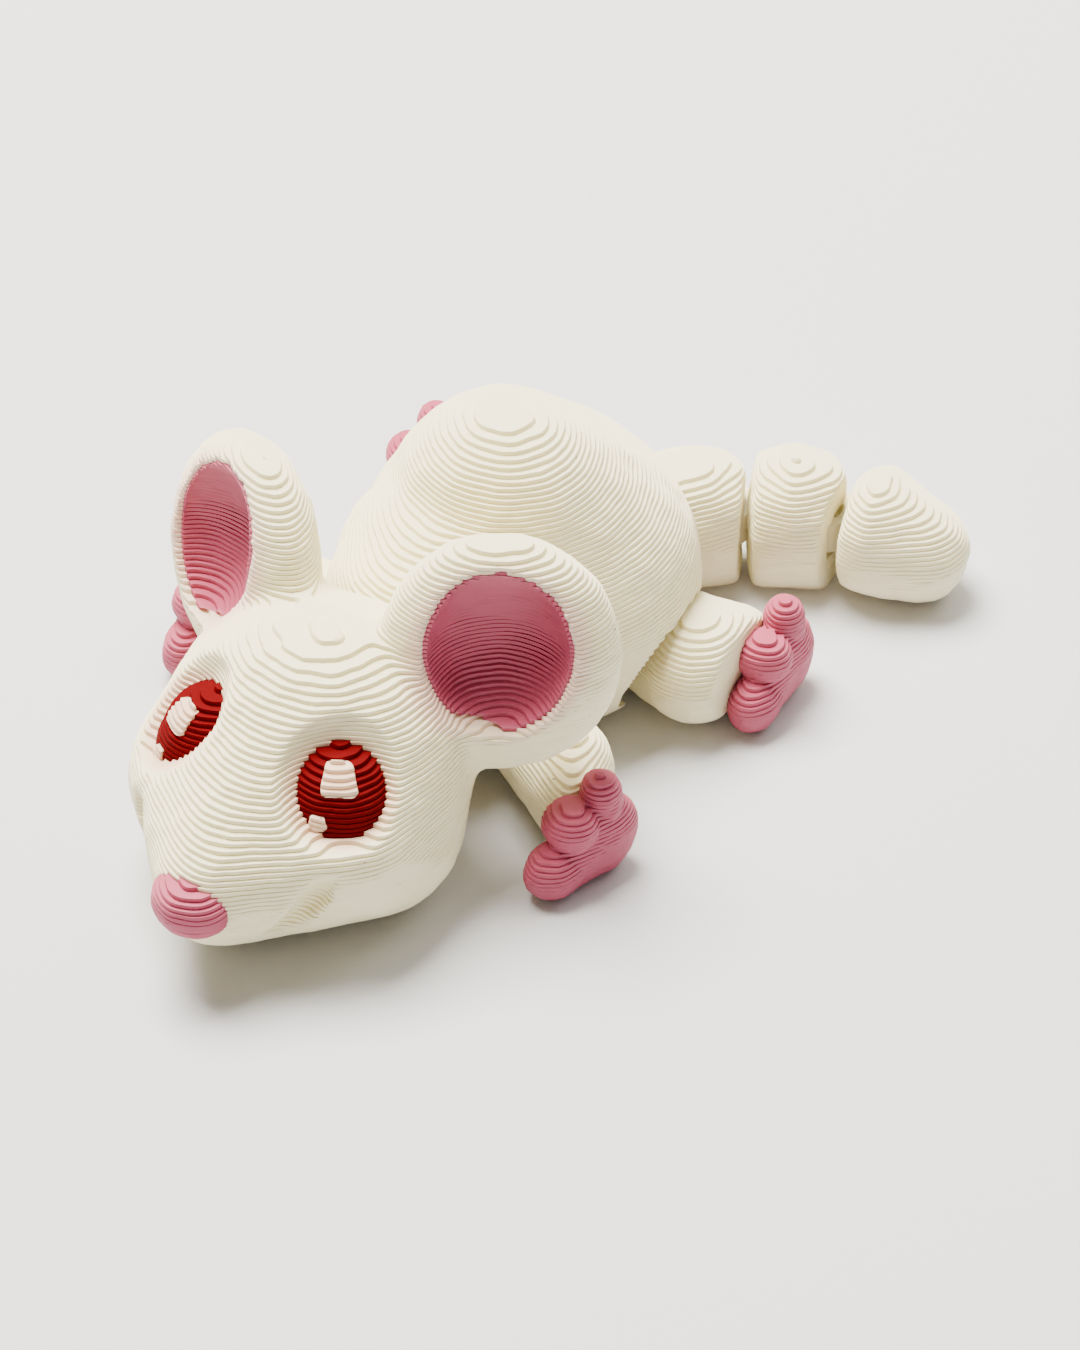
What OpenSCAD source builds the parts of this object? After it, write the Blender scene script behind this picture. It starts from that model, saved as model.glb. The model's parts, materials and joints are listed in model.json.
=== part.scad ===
// Articulated mouse figurine, printed in one go from three colours of filament.
// The torso carries a head, four legs and a three-piece tail on captive
// post-and-ring joints that turn about upright axes.
// Units are millimetres, +Z is up, the mouse faces -Y and its left side is +X.
// The origin is the middle of the flat belly.

/* [Pose] */
// Turn of the head to the mouse's left, in degrees
head_turn = 10; // [-18:1:18]
// Bend of the first tail joint to the mouse's left, in degrees
tail_bend_1 = 30; // [-34:1:34]
// Bend of the second tail joint
tail_bend_2 = 22; // [-24:1:24]
// Bend of the third tail joint
tail_bend_3 = 17; // [-24:1:24]
// Forward swing of the left front leg
front_swing_left = 10; // [-18:1:18]
// Forward swing of the right front leg
front_swing_right = 15; // [-18:1:18]
// Backward swing of the left hind leg
hind_swing_left = 10; // [-18:1:18]
// Backward swing of the right hind leg
hind_swing_right = 3; // [-18:1:18]

/* [Torso] */
// Width of the haunches
haunch_w = 15.7; // [14.6:0.1:16.8]
// Height of the hump
hump_top = 15.1; // [14.6:0.1:16.8]
// Radius of the round neck end
neck_r = 4.75; // [4.5:0.05:5]

/* [Head] */
// Width of the skull
skull_w = 13.7; // [12.6:0.1:14.6]
// Height of an ear
ear_h = 11; // [10.6:0.1:12.6]
// Width of an ear
ear_w = 10.4; // [9.2:0.1:10.9]
// Turn of an ear's opening away from straight ahead
ear_angle = 30; // [20:1:40]
// Lean of an ear's tip to the rear
ear_lean = 12; // [0:1:20]
// Radius of an eyeball
eye_r = 2.1; // [1.8:0.05:2.15]
// Radius of the nose
nose_r = 1.7; // [1.4:0.05:1.95]

/* [Tail] */
// Distance from one tail joint to the next
tail_pitch = 4.55; // [4.35:0.05:5]
// Width of a tail segment
tail_w = 5.9; // [5.4:0.1:6.4]
// Height of a tail segment
tail_h = 6.3; // [5.9:0.1:6.7]
// Length of the last segment beyond its joint
tip_l = 7; // [6.2:0.1:7.8]

/* [Joints] */
// Radius of a joint's post
post_r = 0.7; // [0.55:0.05:0.85]
// Free space all round inside a joint
play = 0.3; // [0.2:0.05:0.35]
// Wall of the ring round a post
ring_wall = 0.55; // [0.5:0.05:0.7]

/* [Hidden] */

white = "ivory";
pink = "lightpink";
red = "firebrick";
fine = 32;       // facets round a large hull's children
small = 20;      // facets round a small one's
round_fn = 64;   // facets round a true bore or post
far = 45;        // longer than the whole mouse is wide
skin = 0.01;     // how far a cut runs past a face

ring_r = post_r + play + ring_wall;
slot_r = ring_r + play;
slot_low = 1.7;                      // floor of every joint's slot
slot_high = 3.9;                     // ceiling of every joint's slot
tongue_w = 1.8;
root = 0.6;                          // how far a tongue runs into the piece that carries it
gap = 0.3;                           // space between two pieces that turn on each other
below = 1;                           // how far a pocket is cut below the bed
slot_over = 3;                       // how far a slot is cut past the round end it opens in
spare = 2;                           // a slot's extra swing, in degrees

neck_y = -5.88;                      // neck joint, on the middle plane
neck_mid_z = 5.88;
neck_rz = 5.18;
neck_range = 20;
tail_y = 7.28;                       // first tail joint
tail_root_range = 36;
tail_range = 24;
tail_r = tail_w / 2;
tail_half_z = tail_r * 1.1;
tail_nose = 1.05;                    // from a tail joint to the end face of the piece in front
tail_past = 0.28;                    // how far the rounding of an end starts past the joint
tail_round = 1.05;                   // length of that rounding
hip = [5.88, 3.5];                   // hind leg joint, left side
hip_r = 2.66;
hip_top = 4.76;
shoulder = [5.18, -4.76];            // front leg joint, left side
shoulder_r = 2.17;
shoulder_top = 4.9;
leg_range = 18;
leg_slot_range = leg_range + 2 * spare;
hip_at = [0, 0, 2.24];               // middle of the hip's round end
hip_half = [hip_r, hip_r, hip_top - hip_at[2]];
thigh_at = [2.1, -0.7, 2.8];         // middle of the thigh, from the hip joint
thigh_half = [2.66, 3.08, 2.66];
foot_h = 0.14;                       // straight foot of the hip's round end
paw_x_hind = 3.85;                   // from the hip joint to the sole piece
paw_x_front = 5.74;
arm_lead = -2.38;                    // a front paw's lead over its joint
hind_lag = 1.12;                     // how far behind its joint a hind paw is

// ---------- shared shapes ----------

// A smooth egg of the given half sizes.
module egg(at, r, facets = fine) {
    translate(at) scale(r) sphere(r = 1, $fn = facets);
}

// Half sizes with the working gap added.
function roomy(half_size) = [for (half = half_size) half + gap];

// Everything above the print bed.
module above_bed() {
    intersection() {
        children();
        translate([-far, -far, 0]) cube([2 * far, 2 * far, far]);
    }
}

// The space that a tongue sweeps, opening towards +X from a joint at the origin.
module tongue_sweep(reach, half_angle) {
    half = tongue_w / 2 + play;
    near_low = [-half * sin(half_angle), -half * cos(half_angle)];
    far_low = [reach * cos(half_angle) + near_low[0], -reach * sin(half_angle) + near_low[1]];
    linear_extrude(height = slot_high - slot_low)
        polygon([near_low, far_low, [far_low[0], -far_low[1]], [near_low[0], -near_low[1]]]);
}

// Slot for a ring and its tongue: the tongue leaves towards +X.
module joint_slot(reach, half_angle) {
    translate([0, 0, slot_low]) {
        cylinder(r = slot_r, h = slot_high - slot_low, $fn = round_fn);
        tongue_sweep(reach, half_angle);
    }
}

// Post that stays in the slot and carries the ring.
module joint_post() {
    translate([0, 0, slot_low - skin])
        cylinder(r = post_r, h = slot_high - slot_low + 2 * skin, $fn = round_fn);
}

// Ring on a tongue that reaches towards +X.
module joint_ring(reach) {
    ring_h = slot_high - slot_low - 2 * play;
    translate([0, 0, slot_low + play]) difference() {
        union() {
            cylinder(r = ring_r, h = ring_h, $fn = round_fn);
            translate([0, -tongue_w / 2, 0]) cube([reach, tongue_w, ring_h]);
        }
        translate([0, 0, -skin])
            cylinder(r = post_r + play, h = ring_h + 2 * skin, $fn = round_fn);
    }
}

// Places children at the left or the right side.
module on_side(side) {
    if (side > 0) children(); else mirror([1, 0, 0]) children();
}

// ---------- torso ----------

// Hump, haunches and chest, and the round neck end that the head turns on.
module torso_form() {
    haunch = [haunch_w / 2, 7.42, 7.14];
    above_bed() {
        hull() {
            egg([0, 0.84, 5.32], haunch);
            egg([0, -0.7, hump_top - 6.44], [5.46, 5.18, 6.44]);
        }
        hull() {
            egg([0, 0.28, 5.46], [haunch_w / 2 - 0.7, 6.16, 6.3]);
            egg([0, -3.64, 6.16], [6.16, 4.76, 6.16]);
            egg([0, neck_y, neck_mid_z], [neck_r, neck_r, neck_rz]);
        }
    }
}

// Round pocket that a leg or the tail turns in.
module pocket(r, top) {
    translate([0, 0, -below]) cylinder(r = r + gap, h = top + gap + below, $fn = round_fn);
}

// Room for the thigh over the whole swing of a hind leg.
module thigh_room() {
    hull() {
        cylinder(r = hip_r + gap, h = foot_h, $fn = fine);
        egg(hip_at, roomy(hip_half), small);
        for (turn = [-leg_range, 0, leg_range]) rotate(turn) egg(thigh_at, roomy(thigh_half), small);
    }
}

// Room for the sides of the tail at the ends of its swing.
module tail_room() {
    for (turn = [-tail_root_range, tail_root_range]) rotate(90 + turn)
        translate([0, -tail_r - gap, -below])
            cube([2 * tail_r, 2 * (tail_r + gap), tail_h + gap + below]);
}

module torso() color(white) {
    difference() {
        torso_form();
        translate([0, neck_y, 0]) rotate(-90) joint_slot(neck_r + slot_over, neck_range + spare);
        translate([0, tail_y, 0]) {
            pocket(tail_r, tail_h);
            tail_room();
        }
        for (side = [-1, 1]) on_side(side) {
            translate([hip[0], hip[1], 0]) {
                pocket(hip_r, hip_top);
                thigh_room();
            }
            translate([shoulder[0], shoulder[1], 0]) pocket(shoulder_r, shoulder_top);
        }
    }
    translate([0, neck_y, 0]) joint_post();
    translate([0, tail_y, 0]) rotate(-90) joint_ring(tail_r + gap + root);
    for (side = [-1, 1]) on_side(side) {
        translate([hip[0], hip[1], 0]) rotate(180) joint_ring(hip_r + gap + root);
        translate([shoulder[0], shoulder[1], 0]) rotate(180)
            joint_ring(shoulder_r + gap + root);
    }
}

// ---------- head, drawn about the neck joint ----------

ear_at = [6.44, -4.06, 10.92];
ear_half = [ear_w / 2, 2.45, ear_h / 2];
cup_at = [0, -2.31, 0.84];                    // middle of the hollow, in the ear's own frame
cup_half = [ear_w / 2 - 1.9, 2.87, ear_h / 2 - 1.54];
lining_t = 0.55;                              // thickness of an ear's lining
lining_front = -1.68;                         // front edge of the lining, in the ear's own frame
eye_at = [3.43, -11.9, 7.56];
nose_at = [0, -17.85, 4.48];

// Places children in the frame of the turned head.
module head_frame() {
    translate([0, neck_y, 0]) rotate(head_turn) children();
}

// Places children in the frame of one ear, with its opening towards -Y.
module ear_frame(side) {
    on_side(side) translate(ear_at) rotate(ear_angle) rotate([-ear_lean, 0, 0]) children();
}

// The hollow of an ear, or what is left of it inside a lining.
module ear_cup(shrink) {
    hull() egg(cup_at, [for (half = cup_half) half - shrink], small);
}

// Skull, cheeks and snout in one skin.
module skull() {
    hull() {
        egg([0, -7.91, 6.3], [skull_w / 2, 6.02, 5.88]);
        for (x = [-1, 1]) {
            egg([3.36 * x, -9.52, 3.64], [3.92, 4.2, 3.64]);
            egg([3.22 * x, -11.34, 4.9], [3.78, 3.78, 3.64]);
        }
        egg([0, -13.86, 3.92], [3.36, 4.06, 3.57]);
    }
}

module head() color(white) head_frame() {
    difference() {
        above_bed() {
            skull();
            for (side = [-1, 1]) ear_frame(side) hull() egg([0, 0, 0], ear_half);
        }
        for (side = [-1, 1]) {
            ear_frame(side) ear_cup(0);
            on_side(side) translate(eye_at) sphere(r = eye_r, $fn = round_fn);
        }
        translate(nose_at) sphere(r = nose_r, $fn = round_fn);
        rotate_extrude($fn = round_fn) neck_cup_outline();
    }
    rotate(-90) joint_ring(neck_r + gap + 2 * root);
}

// Half outline of the hollow that clears the torso's round neck end.
module neck_cup_outline() {
    steps = 18;
    r = neck_r + gap;
    rz = neck_rz + gap;
    polygon(concat(
        [[0, -below], [r, -below], [r, 0]],
        [for (i = [0 : steps]) let (a = 90 * i / steps)
            [r * cos(a), neck_mid_z + rz * sin(a)]]));
}

module nose() color(pink) head_frame()
    translate(nose_at) sphere(r = nose_r, $fn = round_fn);

module ear_lining(side) color(pink) head_frame() ear_frame(side)
    intersection() {
        difference() {
            ear_cup(0);
            ear_cup(lining_t);
        }
        translate([-far, lining_front, -far]) cube([2 * far, far, 2 * far]);
    }

// A peg of one colour let into the eyeball. Both eyes shine on the same side, so it is not
// mirrored: turn is to the mouse's left from straight ahead, tilt is upwards.
module eye_peg(side, turn, tilt, r) {
    proud = 0.02;
    start = 1.1;
    translate([side * eye_at[0], eye_at[1], eye_at[2]])
        rotate([0, 0, turn]) rotate([90 - tilt, 0, 0])
            translate([0, 0, start]) cylinder(r = r, h = eye_r + proud - start, $fn = round_fn);
}

// The large pale mark in an eye.
module highlight_peg(side) {
    eye_peg(side, side > 0 ? 36 : 0, 57, 0.63);
}

// The small pale mark low in an eye.
module glint_peg(side) {
    eye_peg(side, side > 0 ? 11 : -13, 5, 0.28);
}

module eye(side) color(red) head_frame() difference() {
    on_side(side) translate(eye_at) sphere(r = eye_r, $fn = round_fn);
    highlight_peg(side);
    glint_peg(side);
}

// ---------- legs, drawn about their joint with the leg along +X ----------

module hind_leg_form() {
    hull() {
        cylinder(r = hip_r, h = foot_h, $fn = fine);
        egg(hip_at, hip_half);
        egg(thigh_at, thigh_half);
        egg([3.36, 0.7, 2.8], [1.54, 2.1, 2.52]);
    }
}

module front_leg_form() {
    hull() {
        egg([0, 0, 2.52], [shoulder_r, shoulder_r, shoulder_top - 2.52]);
        egg([3.08, -0.42, 2.66], [2.24, 1.96, 2.52]);
        egg([5.32, arm_lead + 0.7, 2.52], [1.4, 1.61, 2.24]);
    }
}

// Places children at a leg joint, with the leg along +X on either side.
module leg_frame(side, at, turn) {
    on_side(side) translate([at[0], at[1], 0]) rotate(turn) children();
}

// Keeps what lies between two planes across the leg.
module along_leg(from, to) {
    intersection() {
        children();
        translate([from, -far, 0]) cube([to - from, 2 * far, far]);
    }
}

// The white of a leg: its form up to the paw, with the slot and post of its joint.
module leg(side, at, turn, r, paw_x) color(white) leg_frame(side, at, turn) {
    difference() {
        along_leg(-far, paw_x) children();
        rotate(180) joint_slot(r + slot_over, leg_slot_range);
    }
    joint_post();
}

function hind_turn(side) = side > 0 ? hind_swing_left : hind_swing_right;

module hind_leg(side) leg(side, hip, hind_turn(side), hip_r, paw_x_hind) hind_leg_form();

function front_turn(side) = -(side > 0 ? front_swing_left : front_swing_right);

module front_leg(side) leg(side, shoulder, front_turn(side), shoulder_r, paw_x_front)
    front_leg_form();

// Sole and three toes, in an upright plane across the leg's end. The toes point up and forward.
module paw_form() {
    hull() {
        egg([0.84, 0.98, 2.1], [1.05, 1.82, 2.1], small);
        egg([0.77, -0.84, 1.4], [0.98, 1.68, 1.4], small);
    }
    hull() {
        egg([0.7, 1.12, 3.08], [1.01, 1.01, 0.98], small);
        egg([0.7, 1.12, 4.34], [0.95, 0.95, 0.98], small);
    }
    hull() egg([0.7, -0.49, 3.22], [1.26, 1.19, 1.12], small);
    hull() egg([0.77, -1.4, 1.4], [1.05, 1.47, 1.4], small);
}

module hind_paw(side) color(pink) leg_frame(side, hip, hind_turn(side))
    along_leg(paw_x_hind, far) translate([paw_x_hind, hind_lag, 0]) paw_form();

module front_paw(side) color(pink) leg_frame(side, shoulder, front_turn(side))
    along_leg(paw_x_front, far) translate([paw_x_front, arm_lead, 0]) paw_form();

// ---------- tail, each piece drawn about its own joint with its length along +X ----------

// A flat vector turned by an angle.
function turned(v, a) = [v[0] * cos(a) - v[1] * sin(a), v[0] * sin(a) + v[1] * cos(a)];
tail_heading = [90 - tail_bend_1, 90 - tail_bend_1 - tail_bend_2,
                90 - tail_bend_1 - tail_bend_2 - tail_bend_3];
joint_1 = [0, tail_y];
joint_2 = joint_1 + turned([tail_pitch, 0], tail_heading[0]);
joint_3 = joint_2 + turned([tail_pitch, 0], tail_heading[1]);

// A round slice of the tail, high enough to reach the tail's top.
module tail_slice(x, half_x) {
    egg([x, 0, tail_h - tail_half_z], [half_x, tail_r, tail_half_z]);
}

// A stretch of the tail with softly rounded ends.
module barrel(from, to) {
    above_bed() hull() {
        tail_slice(from + tail_round, tail_round);
        tail_slice(to - tail_round, tail_round);
    }
}

// Keeps the part in front of a blunt wedge round the next joint, so that the next piece can bend.
module blunt_end(joint_x) {
    steps = 8;
    wide = far / 3;
    outline = concat(
        [[-far, far], [-far, -far], turned([tail_nose, -wide], -tail_range)],
        [for (i = [0 : steps]) turned([tail_nose, 0], tail_range * (2 * i / steps - 1))],
        [turned([tail_nose, wide], tail_range)]);
    intersection() {
        children();
        translate([joint_x, 0, -below]) linear_extrude(height = far) polygon(outline);
    }
}

// Places children at a tail joint.
module tail_frame(joint, heading) {
    translate([joint[0], joint[1], 0]) rotate(heading) children();
}

// A middle piece of the tail from its front end to its blunt rear end.
module tail_piece() {
    difference() {
        blunt_end(tail_pitch) children();
        translate([tail_pitch, 0, 0]) joint_slot(tail_r + slot_over, tail_range + spare);
    }
    translate([tail_pitch, 0, 0]) joint_post();
}

module tail_segment_1() color(white) tail_frame(joint_1, tail_heading[0]) {
    difference() {
        tail_piece() above_bed() hull() {
            tail_slice(0, tail_r);
            tail_slice(tail_pitch + tail_past, tail_round);
        }
        rotate(180) joint_slot(tail_r + slot_over, tail_root_range + spare);
    }
    joint_post();
}

module tail_segment_2() color(white) tail_frame(joint_2, tail_heading[1]) {
    tail_piece() barrel(tail_nose + gap, tail_pitch + tail_past + tail_round);
    joint_ring(tail_nose + gap + root);
}

module tail_tip() color(white) tail_frame(joint_3, tail_heading[2]) {
    above_bed() intersection() {
        hull() {
            egg([tail_nose + gap + tail_round, 0, 2.94], [tail_round, tail_r, 2.94]);
            egg([tip_l - 2.24, 0, 2.45], [2.24, 2.24, 2.45]);
        }
        translate([tail_nose + gap, -far, 0]) cube([far, 2 * far, far]);
    }
    joint_ring(tail_nose + gap + root);
}

// ---------- the named pieces ----------

torso();
head();
nose();
ear_lining(1);  // ear_lining_left
ear_lining(-1);  // ear_lining_right
eye(1);  // eye_left
eye(-1);  // eye_right
color(white) head_frame() highlight_peg(1);  // eye_highlight_left
color(white) head_frame() highlight_peg(-1);  // eye_highlight_right
color(white) head_frame() glint_peg(1);  // eye_glint_left
color(white) head_frame() glint_peg(-1);  // eye_glint_right
front_leg(1);  // front_leg_left
front_leg(-1);  // front_leg_right
front_paw(1);  // front_paw_left
front_paw(-1);  // front_paw_right
hind_leg(1);  // hind_leg_left
hind_leg(-1);  // hind_leg_right
hind_paw(1);  // hind_paw_left
hind_paw(-1);  // hind_paw_right
tail_segment_1();
tail_segment_2();
tail_tip();
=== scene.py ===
"""The looks of a small articulated mouse, printed in one go from ivory, pink and red filament.

Each piece starts from smooth primitives and is then sliced into the 0.2 mm layers that the real
one is laid down in, so that its ridges and terraces are shape and not only shading. Sizes are in
millimetres until a piece is finished. The mouse faces -Y, its left side is +X and +Z is up.
"""

import json
import logging
import math
from dataclasses import dataclass
from enum import Enum
from typing import Sequence

import bpy
import numpy as np
from mathutils import Matrix, Vector


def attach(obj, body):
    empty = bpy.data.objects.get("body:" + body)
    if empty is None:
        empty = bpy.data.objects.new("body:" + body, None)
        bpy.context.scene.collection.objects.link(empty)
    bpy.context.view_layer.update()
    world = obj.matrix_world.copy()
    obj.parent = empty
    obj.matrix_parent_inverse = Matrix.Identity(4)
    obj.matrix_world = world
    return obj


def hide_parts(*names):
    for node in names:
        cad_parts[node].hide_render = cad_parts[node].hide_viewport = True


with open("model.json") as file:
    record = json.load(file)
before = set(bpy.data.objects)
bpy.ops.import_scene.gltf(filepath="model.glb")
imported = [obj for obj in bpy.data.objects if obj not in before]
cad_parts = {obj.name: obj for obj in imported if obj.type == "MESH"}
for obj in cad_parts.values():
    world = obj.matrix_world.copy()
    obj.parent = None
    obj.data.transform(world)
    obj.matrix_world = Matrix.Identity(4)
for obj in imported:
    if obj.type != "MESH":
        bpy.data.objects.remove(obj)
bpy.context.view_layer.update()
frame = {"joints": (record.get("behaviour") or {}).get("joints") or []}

log = logging.getLogger("printed_mouse")

MM = 0.001
LAYER = 0.2  # height of one printed layer
PAST = 1.4  # how far a cutter runs past the faces that it cuts
OPEN = 2.8  # how far a slot is cut past the end that it opens in
ROOT = 0.7  # how far a tongue runs into the piece that carries it
SIT = 0.07  # how far a post runs into the floor and ceiling of its slot
FLUSH = 0.02  # how far a coloured skin stands out of a white one, so that the two never coincide
Triple = tuple[float, float, float]
Socket = bpy.types.NodeSocket


class Side(Enum):
    """The two sides of the mouse, with the sign of X on each."""

    LEFT = 1
    RIGHT = -1

    @property
    def word(self) -> str:
        """The side's name as piece names have it."""
        return self.name.lower()


class Slot(Enum):
    """The three filaments, by the material slots of the record."""

    WHITE = "white_filament"
    PINK = "pink_filament"
    RED = "red_filament"


# ---------- modelling ----------


def deselect() -> None:
    """Leaves nothing selected."""
    if bpy.context.object and bpy.context.object.mode != "OBJECT":
        bpy.ops.object.mode_set(mode="OBJECT")
    bpy.ops.object.select_all(action="DESELECT")


def activate(piece: bpy.types.Object) -> None:
    """Selects one piece alone and makes it active.

    Args:
        piece: the object to work on.
    """
    deselect()
    piece.select_set(True)
    bpy.context.view_layer.objects.active = piece


def bake_place(piece: bpy.types.Object, matrix: Matrix) -> bpy.types.Object:
    """Moves a piece and puts its place into its mesh, with its faces outwards.

    Args:
        piece: a closed mesh whose object is at the origin.
        matrix: where it goes; a mirror image is allowed.

    Returns:
        The same piece.
    """
    activate(piece)
    piece.matrix_world = matrix
    bpy.ops.object.transform_apply(location=True, rotation=True, scale=True)
    bpy.ops.object.mode_set(mode="EDIT")
    bpy.ops.mesh.select_all(action="SELECT")
    bpy.ops.mesh.normals_make_consistent(inside=False)
    bpy.ops.object.mode_set(mode="OBJECT")
    return piece


def egg(centre: Triple, half: Triple, segments: int = 48) -> bpy.types.Object:
    """A smooth egg.

    Args:
        centre: its middle.
        half: its half sizes along X, Y and Z.
        segments: its faces round the middle.

    Returns:
        The new object, at the origin with its place in its mesh.
    """
    deselect()
    bpy.ops.mesh.primitive_uv_sphere_add(
        segments=segments, ring_count=segments // 2, radius=1, location=centre, scale=half
    )
    bpy.ops.object.transform_apply(location=True, rotation=True, scale=True)
    return bpy.context.object


def drum(at: tuple[float, float], radius: float, low: float, high: float) -> bpy.types.Object:
    """An upright cylinder.

    Args:
        at: X and Y of its axis.
        radius: its radius.
        low: height of its lower end.
        high: height of its upper end.

    Returns:
        The new object.
    """
    deselect()
    bpy.ops.mesh.primitive_cylinder_add(
        vertices=48, radius=radius, depth=high - low, location=(*at, (low + high) / 2)
    )
    bpy.ops.object.transform_apply(location=True, rotation=True, scale=True)
    return bpy.context.object


def block(low: Triple, high: Triple) -> bpy.types.Object:
    """A box between two corners.

    Args:
        low: its lowest corner.
        high: its highest corner.

    Returns:
        The new object.
    """
    deselect()
    middle = [(a + b) / 2 for a, b in zip(low, high)]
    size = [b - a for a, b in zip(low, high)]
    bpy.ops.mesh.primitive_cube_add(size=1, location=middle, scale=size)
    bpy.ops.object.transform_apply(location=True, rotation=True, scale=True)
    return bpy.context.object


def joined(parts: Sequence[bpy.types.Object]) -> bpy.types.Object:
    """Makes several meshes one object, without fusing them.

    Args:
        parts: the meshes; the first one keeps its name.

    Returns:
        The one object.
    """
    activate(parts[0])
    for part in parts[1:]:
        part.select_set(True)
    if len(parts) > 1:
        bpy.ops.object.join()
    return parts[0]


def hulled(parts: Sequence[bpy.types.Object]) -> bpy.types.Object:
    """Stretches one skin round several meshes.

    Args:
        parts: the meshes inside.

    Returns:
        The skin.
    """
    skin = joined(parts)
    bpy.ops.object.mode_set(mode="EDIT")
    bpy.ops.mesh.select_all(action="SELECT")
    bpy.ops.mesh.convex_hull()
    bpy.ops.object.mode_set(mode="OBJECT")
    return skin


def fused(parts: Sequence[bpy.types.Object], grain: float, rounding: int) -> bpy.types.Object:
    """Melts overlapping solids into one skin and softens it.

    Args:
        parts: closed meshes that overlap.
        grain: the size of the new skin's faces.
        rounding: how many passes of smoothing it gets.

    Returns:
        The fused solid.
    """
    solid = joined(parts)
    remesh = solid.modifiers.new("skin", "REMESH")
    remesh.mode = "VOXEL"
    remesh.voxel_size = grain
    bpy.ops.object.modifier_apply(modifier=remesh.name)
    if rounding:
        soften = solid.modifiers.new("soften", "SMOOTH")
        soften.factor = 0.5
        soften.iterations = rounding
        bpy.ops.object.modifier_apply(modifier=soften.name)
    return solid


def combined(
    solid: bpy.types.Object, tools: Sequence[bpy.types.Object], operation: str = "DIFFERENCE"
) -> bpy.types.Object:
    """Cuts tools out of a solid, or keeps only what is inside them.

    Args:
        solid: the solid that is changed.
        tools: closed meshes, used up one after another.
        operation: DIFFERENCE or INTERSECT.

    Returns:
        The same solid.
    """
    for tool in tools:
        activate(solid)
        change = solid.modifiers.new("change", "BOOLEAN")
        change.operation = operation
        change.solver = "EXACT"
        change.object = tool
        bpy.ops.object.modifier_apply(modifier=change.name)
        bpy.data.objects.remove(tool)
    return solid


def trimmed(piece: bpy.types.Object, point: Triple, outward: Triple) -> bpy.types.Object:
    """Cuts off all that lies beyond a plane and closes the cut.

    Args:
        piece: a closed mesh.
        point: a point on the plane.
        outward: the direction that is cut off.

    Returns:
        The same piece.
    """
    activate(piece)
    bpy.ops.object.mode_set(mode="EDIT")
    bpy.ops.mesh.select_all(action="SELECT")
    bpy.ops.mesh.bisect(plane_co=point, plane_no=outward, use_fill=True, clear_outer=True)
    bpy.ops.object.mode_set(mode="OBJECT")
    return piece


@dataclass(frozen=True)
class LayerPress:
    """Lays a smooth solid down again as stacked layers of filament."""

    groove: float = 0.03  # depth of the groove between two layers on an upright wall
    wander: float = 0.012  # how far a line strays sideways
    ripple: float = 0.2  # strength of the slow unevenness that makes terraces wavy
    ripple_size: float = 1.6
    # Where a layer's upright side begins and ends in the smooth solid, and the heights, as shares of
    # a layer, that those slices are spread to.
    slices: tuple[float, ...] = (0.46, 0.5, 0.54)
    rises: tuple[float, ...] = (0.0, 0.5, 1.0)
    insets: tuple[float, ...] = (1.0, 0.0, 1.0)

    def press(self, solid: bpy.types.Object, proud: float) -> bpy.types.Object:
        """Slices a solid at each layer and steps its skin.

        Args:
            solid: a closed mesh in millimetres, with its place in its mesh.
            proud: how far the finished skin stands out, so that two skins never coincide.

        Returns:
            The same object, with terraces on its slopes and ridges on its walls.
        """
        activate(solid)
        clouds = bpy.data.textures.new("ripple", "CLOUDS")
        clouds.noise_scale = self.ripple_size
        uneven = solid.modifiers.new("uneven", "DISPLACE")
        uneven.texture = clouds
        uneven.texture_coords = "LOCAL"
        uneven.strength = self.ripple
        uneven.mid_level = 0.5
        bpy.ops.object.modifier_apply(modifier=uneven.name)
        heights = [vertex.co.z for vertex in solid.data.vertices]
        bpy.ops.object.mode_set(mode="EDIT")
        for layer in range(math.floor(min(heights) / LAYER), math.ceil(max(heights) / LAYER) + 1):
            for share in self.slices:
                bpy.ops.mesh.select_all(action="SELECT")
                bpy.ops.mesh.bisect(
                    plane_co=(0, 0, (layer + share) * LAYER), plane_no=(0, 0, 1), threshold=0.0005
                )
        bpy.ops.object.mode_set(mode="OBJECT")
        self._step(solid.data, proud)
        bpy.ops.object.mode_set(mode="EDIT")
        bpy.ops.mesh.select_all(action="SELECT")
        bpy.ops.mesh.remove_doubles(threshold=0.012)
        bpy.ops.mesh.dissolve_degenerate(threshold=0.004)
        bpy.ops.object.mode_set(mode="OBJECT")
        return solid

    def _step(self, mesh: bpy.types.Mesh, proud: float) -> None:
        """Moves the sliced vertices to where the filament lies.

        Args:
            mesh: the sliced mesh.
            proud: how far the skin stands out.
        """
        count = len(mesh.vertices)
        place = np.empty(count * 3)
        facing = np.empty(count * 3, dtype=np.float32)
        mesh.vertices.foreach_get("co", place)
        mesh.vertex_normals.foreach_get("vector", facing)
        place = place.reshape(-1, 3)
        facing = facing.reshape(-1, 3)
        level = place[:, 2] / LAYER
        base = np.floor(level)
        rise = np.interp(level - base, self.slices, self.rises)
        inset = self.groove * np.interp(rise, self.rises, self.insets)
        lie = base + rise
        x, y = place[:, 0], place[:, 1]
        turn = np.round(lie - 0.01) * 2.4
        stray = np.sin(1.4 * x + turn) * np.sin(1.1 * y - 1.7 * turn) + 0.5 * np.sin(2.9 * (x + y) + 3 * turn)
        push = proud - inset + self.wander * stray
        place[:, 0] += push * facing[:, 0]
        place[:, 1] += push * facing[:, 1]
        place[:, 2] = lie * LAYER + proud * facing[:, 2]
        mesh.vertices.foreach_set("co", place.reshape(-1))
        mesh.update()


# ---------- finishes ----------


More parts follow.
